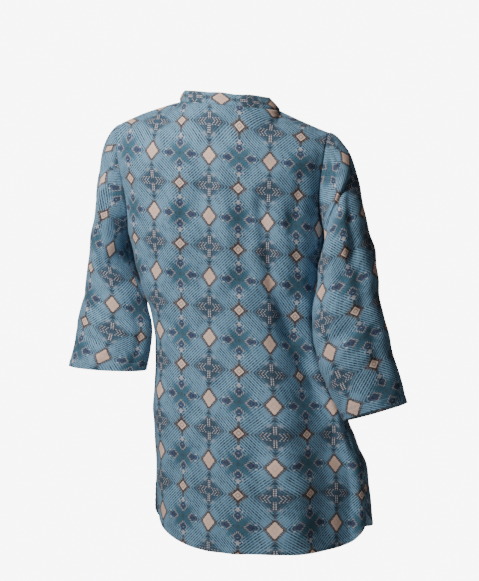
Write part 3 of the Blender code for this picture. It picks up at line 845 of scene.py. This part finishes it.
def printed(across, along):
    """The print at a place on the cloth: an ikat-like lattice of stepped lozenges.

    a and b run from 0 at a large lozenge to 0.5 half a repeat away, the same on all its
    sides. Small squares stand at (.5, .5), crosses at (.5, 0), medallions at (0, .5).
    The numbers are shares of a repeat, or how strongly a colour is laid.
    """
    a0 = across / PRINT_ACROSS
    b0 = along / PRINT_ALONG
    a = abs(a0 - (a0 + 0.5).floor())
    b = abs(b0 - (b0 + 0.5).floor())
    u = 0.5 - a
    v = 0.5 - b
    grain = 0.0208
    ia = (a / grain).floor()
    ib = (b / grain).floor()
    fine = 0.0104
    af = ((a / fine).floor() + 0.5) * fine
    bf = ((b / fine).floor() + 0.5) * fine
    speck = hashed(ia + 3, ib + 7)
    dust = hashed((a0 / fine).floor(), (b0 / fine).floor())

    colour = LIGHT

    def lay(mask, ink):
        nonlocal colour
        colour = blend_colour(mask, colour, ink)

    # ground: stepped strokes that run from the large lozenges to the small squares
    big = a / 0.112 + b / 0.150
    skew = abs(a - b)
    patch = both(big.ramp(1.2, 1.55), big.ramp(2.75, 2.05), skew.ramp(0.15, 0.07))
    pitch = 0.05
    stroke = teeth((a - bf) / pitch).ramp(0.33, 0.22)
    broken = abs(((a + bf) / 0.093 + ((a - bf) / pitch).floor() * 0.37).fract() - 0.5)
    thread = hashed(((a0 - b0) / pitch).floor(), ((a0 + b0) / 0.21).floor())
    stroke = both(stroke, broken.ramp(0.03, 0.10) * 0.6 + 0.4, thread * 0.4 + 0.65)
    lay(patch, PATCH)
    lay(dust.above(0.62) * 0.22, HATCH)
    lay(both(stroke, 1 - patch * (0.4 + dust * 0.4)), HATCH)
    fan = both(abs(skew - 0.19).ramp(0.012, 0.005), patch.ramp(0.1, 0.4))
    lay(fan * 0.6, HATCH)

    # medallion: a soft deep lozenge
    medal = a / 0.25 + v / 0.21
    lay(both(medal.ramp(1.5, 0.75), dust * 0.25 + 0.76), DEEP)
    # cross: soft arms on the diagonals
    wide = u / 0.22 + b / 0.20
    lay(both(wide.ramp(1.6, 0.8), dust * 0.3 + 0.62), TEAL)
    arms = both(abs(u - b).ramp(0.06, 0.03), (u + b).ramp(0.42, 0.28))
    lay(both(arms, dust * 0.3 + 0.5), ARM)
    heart = (u + b).ramp(0.075, 0.03)
    lay(heart * 0.5, HEART)

    # four small lozenges about the cross, dotted on the side towards it
    for here, there, tint, far in ((u, b, PLUM, 0.180), (b, u, NAVY, 0.168)):
        ring = abs(here - far) / 0.070 + there / 0.066
        toward = here.below(far + 0.012)
        edge = both(ring.above(0.98), ring.below(1.42), toward)
        beads = teeth(there / 0.0260).below(0.27)
        lay(both(ring.below(1), dust * 0.4 + 0.5), tint)
        lay(edge * 0.6, PLUM)
        lay(both(edge, beads) * 0.8, AMBER)
        tail = abs(here - far - 0.08) / 0.075 + there / 0.085
        checks = both(tail.below(1), speck.above(0.45))
        lay(checks * 0.6, PLUM)
        lay(both(tail.below(1), speck.below(0.2)) * 0.6, DOT)
    # a small pale cross above and below, towards the small squares
    upright = both(u.below(0.012), abs(b - 0.262).below(0.03))
    plus = upright.larger(both(u.below(0.03), abs(b - 0.262).below(0.011)))
    lay(plus * 0.8, AMBER)
    stem = u / 0.03 + abs(b - 0.345) / 0.05
    lay(stem.ramp(1.1, 0.8) * 0.85, DEEP)

    # medallion's beads: a double column, and chevrons that point outwards
    rung = teeth(v / 0.029)
    column = both(abs(a - 0.016).below(0.0085), v.above(0.045), v.below(0.178))
    lay(both(a.below(0.03), v.above(0.04), v.below(0.185)) * 0.6, BROWN)
    lay(both(column, rung.below(0.27)), DOT)
    for far in (0.10, 0.150, 0.20):
        line = abs(a - far + v * 0.75)
        arm = both(line.below(0.0115), v.below(0.060))
        lay(arm * 0.55, BROWN)
        dots = both(line.below(0.009), teeth(v / 0.0262 + 0.5).below(0.26))
        lay(both(arm, dots) * 0.8, DOT)
    nose = a - 0.2 + v * 1.6
    point = both(nose.below(0.035), nose.above(0), v.below(0.03))
    lay(point * 0.5, BROWN)
    wing = both((abs(a - 0.075) / 0.05 + abs(v - 0.205 + a * 0.35) / 0.035).below(1),
                teeth(a / 0.0208).below(0.34))
    lay(wing * 0.35, DOT)

    # dark triangles above and below the large lozenges
    wedge = both(b.above(0.205), (a - (b - 0.205) * 0.8).below(0.012), b.below(0.265))
    lay(wedge * 0.9, DEEP)

    # small squares standing on a corner
    small = u + v
    lay(small.ramp(0.195, 0.12) * 0.6, TAN)
    lay(both(small.above(0.1), small.below(0.15), speck.above(0.5)) * 0.8, BROWN)
    lay(small.ramp(0.108, 0.100), BROWN)
    lay(small.ramp(0.084, 0.078), CREAM)
    lay(abs(small - 0.038).ramp(0.013, 0.005) * 0.8, TAN)

    # large stepped lozenges
    lozenge = af / 0.112 + bf / 0.144
    rim = both(lozenge.above(1.12), lozenge.below(1.46))
    lay(lozenge.ramp(1.75, 1.2) * 0.5, TAN)
    lay(both(rim, ((ia + ib) / 2).fract().above(0.25)) * 0.8, BROWN)
    lay(lozenge.below(1.14) * 0.92, BROWN)
    lay(lozenge.below(1), CREAM)
    lay(abs(big - 0.36).ramp(0.12, 0.04) * 0.45, CREAM_SHADE)
    lay(dust * 0.12, CREAM_SHADE)
    faded = hashed((a0 + 0.5).floor() + 2, (b0 + 0.5).floor() + 5)
    lay(both(lozenge.below(1), faded) * 0.5, CREAM_SHADE)
    return colour


def new_material(name, values):
    """A material with constant values set on its shader, and the shader's inputs."""
    mat = bpy.data.materials.new(name)
    mat.use_nodes = True
    Field.tree = mat.node_tree
    inputs = mat.node_tree.nodes["Principled BSDF"].inputs
    for key, value in values.items():
        inputs[key].default_value = value
    return mat, inputs


def uv_fields(layer):
    """A uv layer's vector, and its two coordinates as fields."""
    uv = shader_node("UVMap", {}, uv_map=layer).outputs[0]
    split = shader_node("SeparateXYZ", {0: uv})
    return uv, Field(split.outputs[0]), Field(split.outputs[1])


def cloth_material(name, reverse):
    """Printed plain-weave cloth; the reverse shows the print weaker and greyer."""
    mat, inputs = new_material(name, {
        "Metallic": 0.0, "Specular IOR Level": 0.25, "Sheen Weight": 0.08,
        "Sheen Roughness": 0.5})
    uv, across, along = uv_fields("print")

    # soft unevenness of the dye
    place = shader_node("TexCoord", {}).outputs["Object"]
    colour = shader_node("HueSaturation", {
        "Color": printed(across, along), "Value": 0.90 + noise(place, 60.0, 3.0) * 0.20,
    }).outputs[0]
    if reverse:
        colour = blend_colour(0.5, colour, UNDERSIDE)

    # stitch lines along the turned edges
    _, run, away = uv_fields("edge")
    thread = both(abs(away - STITCH["hem"] * MM).below(THREAD_HALF),
                  teeth(run / STITCH_LONG).below(0.37))
    plug(blend_colour(thread * 0.85, colour, THREAD), inputs["Base Color"])

    # plain weave with small slubs
    warp = teeth(across / YARN) * 2
    weft = teeth(along / YARN) * 2
    over = (((across / YARN).floor() + (along / YARN).floor()) * 0.5).fract() * 2
    weave = over * warp + (1 - over) * weft
    height = weave * 0.55 + noise(uv, 900) * 0.5 + thread * 1.4
    bump = shader_node("Bump", {"Strength": 0.35, "Distance": 0.00022, "Height": height})
    plug(bump.outputs[0], inputs["Normal"])
    plug(0.74 + weave * 0.12, inputs["Roughness"])
    return mat


def plain_material(name, colour, roughness, coat):
    """A slightly uneven material of one colour."""
    mat, inputs = new_material(name, {"Coat Weight": coat})
    cloud = noise(shader_node("TexCoord", {}).outputs["Object"], 300.0, 3.0)
    low = tuple(c * 0.86 for c in colour[:3]) + (1.0,)
    plug(blend_colour(cloud, low, colour), inputs["Base Color"])
    plug(cloud * 0.1 + (roughness - 0.05), inputs["Roughness"])
    return mat


OUTSIDE = cloth_material("printed_cloth", False)
INSIDE = cloth_material("printed_cloth_reverse", True)
BUTTON_PLASTIC = plain_material("button_plastic", srgb(58, 84, 104), 0.32, 0.3)
SEWING_THREAD = plain_material("sewing_thread", srgb(96, 128, 156), 0.85, 0.0)


def eased(t):
    """A soft step from 0 to 1, as smooth() is, for a whole array."""
    t = np.clip(t, 0, 1)
    return t * t * (3 - 2 * t)


def panel_maps(g, rows, zero, sign, slope):
    """Print coordinates of a torso panel: across from the line zero, and down."""
    arc = lengths(g, 1)
    u = (arc - zero) * sign
    v = -g[..., 2].copy()
    chest = max(i for i, r in enumerate(rows) if r <= ROW_CHEST)
    down = lengths(g, 0)
    v[:chest] = v[chest] - (down[chest] - down[:chest])
    return metres(u, v - slope * u - ROW_OF_DIAMONDS)


def panel_edges(g, row, side):
    """Distances on a torso panel: down it, to its hem, to a turned edge and to a seam."""
    down = lengths(g, 0)
    hem = down[-1:] - down
    turned = np.minimum(hem, np.where(row >= ROW_VENT, side, FAR))
    seam = np.minimum(np.where(row < ROW_VENT, side, FAR), down)
    return down, hem, turned, seam


def build_back():
    rows = marks(ROW_HEM, NEAR_HEM)
    g = points(back_point, marks(2 * SHOULDER + BACK_NECK), rows)
    arc = lengths(g, 1)
    zero = np.zeros((len(rows), 1))
    start = np.zeros((len(rows), 1))
    for i, (x, y, _) in enumerate(g.transpose(0, 2, 1)):
        start[i, 0] = (LINE_SEEN - VIEW_SIN * np.interp(LINE_X, x, y)) / VIEW_COS
        zero[i, 0] = np.interp(start[i, 0], x, arc[i])
    print_uv = panel_maps(g, rows, zero, -1, FLAT_ROW)
    # above the chest the rows slope with the shoulders, so the print goes by x there
    row = np.array(rows)[:, None]
    sloped = arc - zero - (g[..., 0] - start)
    print_uv[..., 0] += sloped * (1 - eased(row / ROW_CHEST)) * MM
    # low on the right the cloth hangs a little on the cross, so the print spreads and rises
    across = print_uv[..., 0] / MM
    below = -g[..., 2]
    print_uv[..., 1] += 13 * MM * eased((85 - below) / 60)
    print_uv[..., 0] -= 30 * MM * eased((below - 380) / 250) * eased((across - 30) / 200)
    print_uv[..., 1] += 22 * MM * eased((below - 408) / 342) * eased((across - 110) / 107)
    down, hem, turned, seam = panel_edges(g, row, np.minimum(arc, arc[:, -1:] - arc))
    run = np.where(hem <= turned, arc, down)
    edge_uv = metres(run, turned)
    return cloth("back_cloth", g, False, print_uv, edge_uv, turned, seam)


def build_front(side):
    cols = marks(CENTRE_COLUMN + 1, NEAR_SIDE + (13.5, 13.8, 13.9, 13.96), edges=False)
    rows = marks(ROW_HEM, NEAR_HEM)
    g = points(lambda c, r: front_point(side, c, r), cols, rows)
    arc = lengths(g, 1)
    middle = cols.index(CENTRE_COLUMN)
    # the two fronts are cut without matching the print, so the closing edge shows
    zero = arc[:, middle:middle + 1] + PRINT_ACROSS / MM * (0.5 if side < 0 else 0.22)
    print_uv = panel_maps(g, rows, zero, 1, 0)
    down, hem, turned, seam = panel_edges(g, np.array(rows)[:, None], arc)
    shown = turned
    if side > 0:
        print_uv[..., 1] += UNMATCHED
    else:
        # the placket's two stitch lines show on the upper front
        stand = arc[:, -1:] - arc
        placket = np.abs(stand - STITCH["placket"]) + STITCH["hem"]
        shown = np.minimum(turned, np.minimum(placket, stand + 6))
    run = np.where((hem <= turned) & (shown >= turned), arc, down)
    edge_uv = metres(run, shown)
    return cloth("front_%s_cloth" % HAND[side], g, False, print_uv, edge_uv, turned, seam)


def build_sleeve(side):
    # from the seam under the arm once around
    places = [ROW_PIT + STEP * k for k in range(97)]
    rows = marks(SLEEVE_ROWS_CAP + SLEEVE_ROWS_TUBE,
                 (20.1, 20.2, 20.3, 20.4, 20.6, 20.7, 20.9))
    g = points(lambda c, r: sleeve_point(side, c, r), places, rows)
    arc = lengths(g, 1)
    reference, first, tilt, lean, gain = PRINT_SLEEVE[side]
    u = (np.array(places)[None, :] - reference - 24.0) * arc[:, -1:] / 24.0 * gain
    down = lengths(g, 0)
    start = rows.index(SLEEVE_ROWS_CAP)
    spine = g[:, :-1].mean(axis=1)
    step = np.linalg.norm(np.diff(spine, axis=0), axis=1)
    along = np.concatenate([[0], np.cumsum(step)])
    along = along - along[start]
    v = np.repeat(along[:, None], g.shape[1], axis=1)
    v[:start] = -(down[start] - down[:start])
    v = v + first
    print_uv = metres(u + lean * v, v - tilt * u)
    hem = down[-1:] - down - STITCH["cuff"] + STITCH["hem"]
    seam = np.minimum(down, np.minimum(arc, arc[:, -1:] - arc) + 1)
    edge_uv = metres(arc, hem)
    return cloth("sleeve_%s_cloth" % HAND[side], g, True, print_uv, edge_uv, hem, seam)


def build_collar():
    cols = marks(COLLAR_COLUMNS)
    rows = [0, 0.06, 0.14, 0.3, 0.6, 1, 1.5, 2, 2.4, 2.7, 2.86, 2.94, 3]
    g = points(collar_point, cols, rows)
    arc = lengths(g, 1)
    up = lengths(g, 0)
    middle = arc[:, cols.index(COLLAR_COLUMNS / 2)][:, None]
    print_uv = metres(up - 12, arc - middle)
    edge_uv = metres(arc, np.full(arc.shape, FAR))
    top = up[-1:] - up
    hem = np.minimum(top, np.minimum(arc, arc[:, -1:] - arc)) + STITCH["hem"]
    return cloth("collar_cloth", g, False, print_uv, edge_uv, hem, np.minimum(up, 30.0), BAND)


# The sheets: node, form, and the cut piece's width, length and area
for name, obj, width, length, area in (
        ("back", build_back(), 0.60, 0.82, 0.40),
        ("front_left", build_front(1), 0.36, 0.80, 0.235),
        ("front_right", build_front(-1), 0.36, 0.80, 0.235),
        ("sleeve_left", build_sleeve(1), 0.40, 0.52, 0.165),
        ("sleeve_right", build_sleeve(-1), 0.40, 0.52, 0.175),
        ("collar", build_collar(), 0.50, 0.026, 0.0126)):
    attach(obj, "root")
    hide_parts(name)


# Thread holes of a button, its dished middle, and half sizes of a buttonhole
HOLE_OUT = 1.5
HOLE_RADIUS = 0.62
DISH_RADIUS = 3.2
DISH_TOP = 1.35
SLOT_HALF = (1.1, 7.6)


def forwards(across, down):
    """Direction square to two others, out of the front of the shirt."""
    face = unit(np.cross(across, down))
    return face if face[1] < 0 else -face


def button_frames():
    """Centre and facing of each button, as placed on the upper front."""
    band = collar_point(COLLAR_COLUMNS - 1, 1.5)
    ahead = collar_point(COLLAR_COLUMNS - 2, 1.5) - band
    up = collar_point(COLLAR_COLUMNS - 1, 2) - band
    frames = [(band, forwards(up, ahead))]
    column = float(CENTRE_COLUMN)
    for z in BUTTON_Z:
        low, high = 0.5, ROW_HEM - 0.5
        for _ in range(40):
            centre = (low + high) / 2
            if front_point(-1, column, centre)[2] > z:
                low = centre
            else:
                high = centre
        across = front_point(-1, column + 0.3, centre) - front_point(-1, column - 0.3, centre)
        down = front_point(-1, column, centre + 0.3) - front_point(-1, column, centre - 0.3)
        frames.append((front_point(-1, column, centre), forwards(across, down)))
    return frames


def circle(radius, count):
    return [(radius * math.cos(k * math.tau / count), radius * math.sin(k * math.tau / count))
            for k in range(count)]


def bridge(bm, rings):
    """Faces between each ring of vertices and the next."""
    for low, high in zip(rings, rings[1:]):
        for k in range(len(low)):
            m = (k + 1) % len(low)
            bm.faces.new((low[k], low[m], high[m], high[k]))


def fill(bm, loops):
    """Faces over the area inside the first loop and outside the others."""
    edges = []
    for loop in loops:
        for k in range(len(loop)):
            a, b = loop[k], loop[(k + 1) % len(loop)]
            edge = bm.edges.get((a, b))
            edges.append(edge if edge else bm.edges.new((a, b)))
    bmesh.ops.triangle_fill(bm, use_beauty=True, use_dissolve=False, edges=edges)


def build_button(name, place, facing):
    """Four-hole button with a rounded rim and a dished middle."""
    bm = bmesh.new()
    r = BUTTON_RADIUS
    profile = ((DISH_RADIUS, 0), (r - 0.8, 0), (r - 0.25, 0.25), (r, 0.8), (r, 1.3),
               (r - 0.25, 1.8), (r - 0.8, BUTTON_THICK), (r - 1.4, 1.85), (DISH_RADIUS, DISH_TOP))
    rings = [[bm.verts.new((x, y, height)) for x, y in circle(radius, 40)]
             for radius, height in profile]
    bridge(bm, rings)
    under = [rings[0]]
    over = [rings[-1]]
    for k in range(4):
        turn = math.radians(45 + 90 * k)
        cx, cy = HOLE_OUT * math.cos(turn), HOLE_OUT * math.sin(turn)
        low = [bm.verts.new((cx + x, cy - y, 0)) for x, y in circle(HOLE_RADIUS, 12)]
        high = [bm.verts.new((v.co.x, v.co.y, DISH_TOP)) for v in low]
        bridge(bm, [low, high])
        under.append(low)
        over.append(high)
    fill(bm, under)
    fill(bm, over)
    bmesh.ops.recalc_face_normals(bm, faces=bm.faces)
    turn = Vector((0.0, 0.0, 1.0)).rotation_difference(Vector(facing)).to_matrix().to_4x4()
    spot = Vector(place) + Vector(facing) * BUTTON_CLEAR
    placed = Matrix.Scale(MM, 4) @ Matrix.Translation(spot) @ turn
    bm.transform(placed)
    return make_object(name, bm, (BUTTON_PLASTIC,), 35), placed


def tube(bm, path, radius, sides=8):
    """A round thread along a path of points."""
    rings = []
    for i, p in enumerate(path):
        a = path[max(i - 1, 0)]
        b = path[min(i + 1, len(path) - 1)]
        way = (b - a).normalized()
        side = way.orthogonal().normalized()
        up = way.cross(side)
        rings.append([bm.verts.new(p + side * x + up * y) for x, y in circle(radius, sides)])
    bridge(bm, rings)
    bm.faces.new(rings[0][::-1])
    bm.faces.new(rings[-1])


def build_thread(name, placed, across):
    """Thread through the four holes, and the worked edge of the buttonhole."""
    bm = bmesh.new()
    for x in (-1.06, 1.06):
        for shift in (-0.22, 0.22):
            path = [Vector((x + shift, y, h)) for y, h in
                    ((-1.06, 0.5), (-1.02, 1.5), (-0.6, 1.72), (0, 1.78),
                     (0.6, 1.72), (1.02, 1.5), (1.06, 0.5))]
            tube(bm, path, 0.2)
    path = []
    for x, y in circle(1, 28):
        x, y = x * SLOT_HALF[0], y * SLOT_HALF[1]
        path.append(Vector((y, x, -0.22) if across else (x, y, -0.22)))
    for start, end in zip(path, path[1:] + path[:1]):
        tube(bm, [start, (start + end) / 2 + Vector((0.0, 0.0, 0.06)), end], 0.42, 6)
    bm.transform(placed)
    bmesh.ops.recalc_face_normals(bm, faces=bm.faces)
    return make_object(name, bm, (SEWING_THREAD,), 180)


for number, (place, facing) in enumerate(button_frames(), start=1):
    disc, placed = build_button("button_%d_disc" % number, place, facing)
    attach(disc, "root")
    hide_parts("button_%d" % number)
    # the collar's buttonhole runs across, the placket's run up
    sewn = build_thread("button_%d_thread" % number, placed, number == 1)
    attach(sewn, "root")


# Floor, backdrop, lights and camera
def stage_plane(name, size, matrix, material):
    bm = bmesh.new()
    bmesh.ops.create_grid(bm, x_segments=1, y_segments=1, size=size / 2)
    bm.transform(matrix)
    make_object(name, bm, (material,))


AZIMUTH = math.radians(192.0)
DISTANCE = 3.0
PIXEL = 0.00183         # size of the photo's pixel at that distance
PHOTO_TALL = 581.0      # and the photo's height in them
SENSOR = 24.0
FLOOR = -1.40           # the shoulders of a standing wearer are this high
BACKDROP_GLOW = 8.0
RIGHT = Vector((math.cos(AZIMUTH), math.sin(AZIMUTH), 0.0))
AHEAD = Vector((-math.sin(AZIMUTH), math.cos(AZIMUTH), 0.0))
UP = Vector((0.0, 0.0, 1.0))
TARGET = RIGHT * 0.0174 - UP * 0.3376

white = new_material("backdrop_white", {
    "Base Color": (0.9, 0.9, 0.9, 1.0), "Emission Color": (1.0, 1.0, 1.0, 1.0),
    "Emission Strength": BACKDROP_GLOW})[0]
pale = new_material("floor_pale", {"Base Color": (0.8, 0.8, 0.8, 1.0), "Roughness": 0.9})[0]
facing_camera = Matrix((RIGHT, UP, -AHEAD)).transposed().to_4x4()
level = Matrix.Rotation(AZIMUTH, 4, "Z")
stage_plane("floor", 5.6, Matrix.Translation(UP * FLOOR) @ level, pale)
stage_plane("backdrop", 5.8, Matrix.Translation(AHEAD * 12.0 - UP * 0.34) @ facing_camera, white)


def area_light(name, power, size, place, aim, colour):
    data = bpy.data.lights.new(name, "AREA")
    data.energy = power
    data.size = size
    data.color = colour
    obj = add_object(name, data)
    obj.location = place
    obj.rotation_euler = (aim - place).to_track_quat("-Z", "Y").to_euler()


MIDDLE = UP * -0.4      # of the shirt
area_light("key", 34.2, 0.4, MIDDLE - AHEAD - RIGHT + UP * 1.15, MIDDLE + UP * 0.3,
           (1.0, 0.985, 0.96))
area_light("fill", 3.0, 1.6, MIDDLE - AHEAD * 2.8 - RIGHT * 0.3 - UP * 0.1, MIDDLE,
           (0.97, 0.99, 1.0))

world = bpy.data.worlds.new("studio")
world.use_nodes = True
air = world.node_tree.nodes["Background"].inputs
air["Color"].default_value = (1.0, 1.0, 1.0, 1.0)
air["Strength"].default_value = 0.06
bpy.context.scene.world = world

camera_data = bpy.data.cameras.new("camera")
camera_data.sensor_fit = "VERTICAL"
camera_data.sensor_height = SENSOR
camera_data.lens = SENSOR * (DISTANCE / PIXEL) / PHOTO_TALL
camera_data.clip_end = 50.0
camera = add_object("camera", camera_data)
camera.matrix_world = Matrix.Translation(TARGET - AHEAD * DISTANCE) @ facing_camera
bpy.context.scene.camera = camera
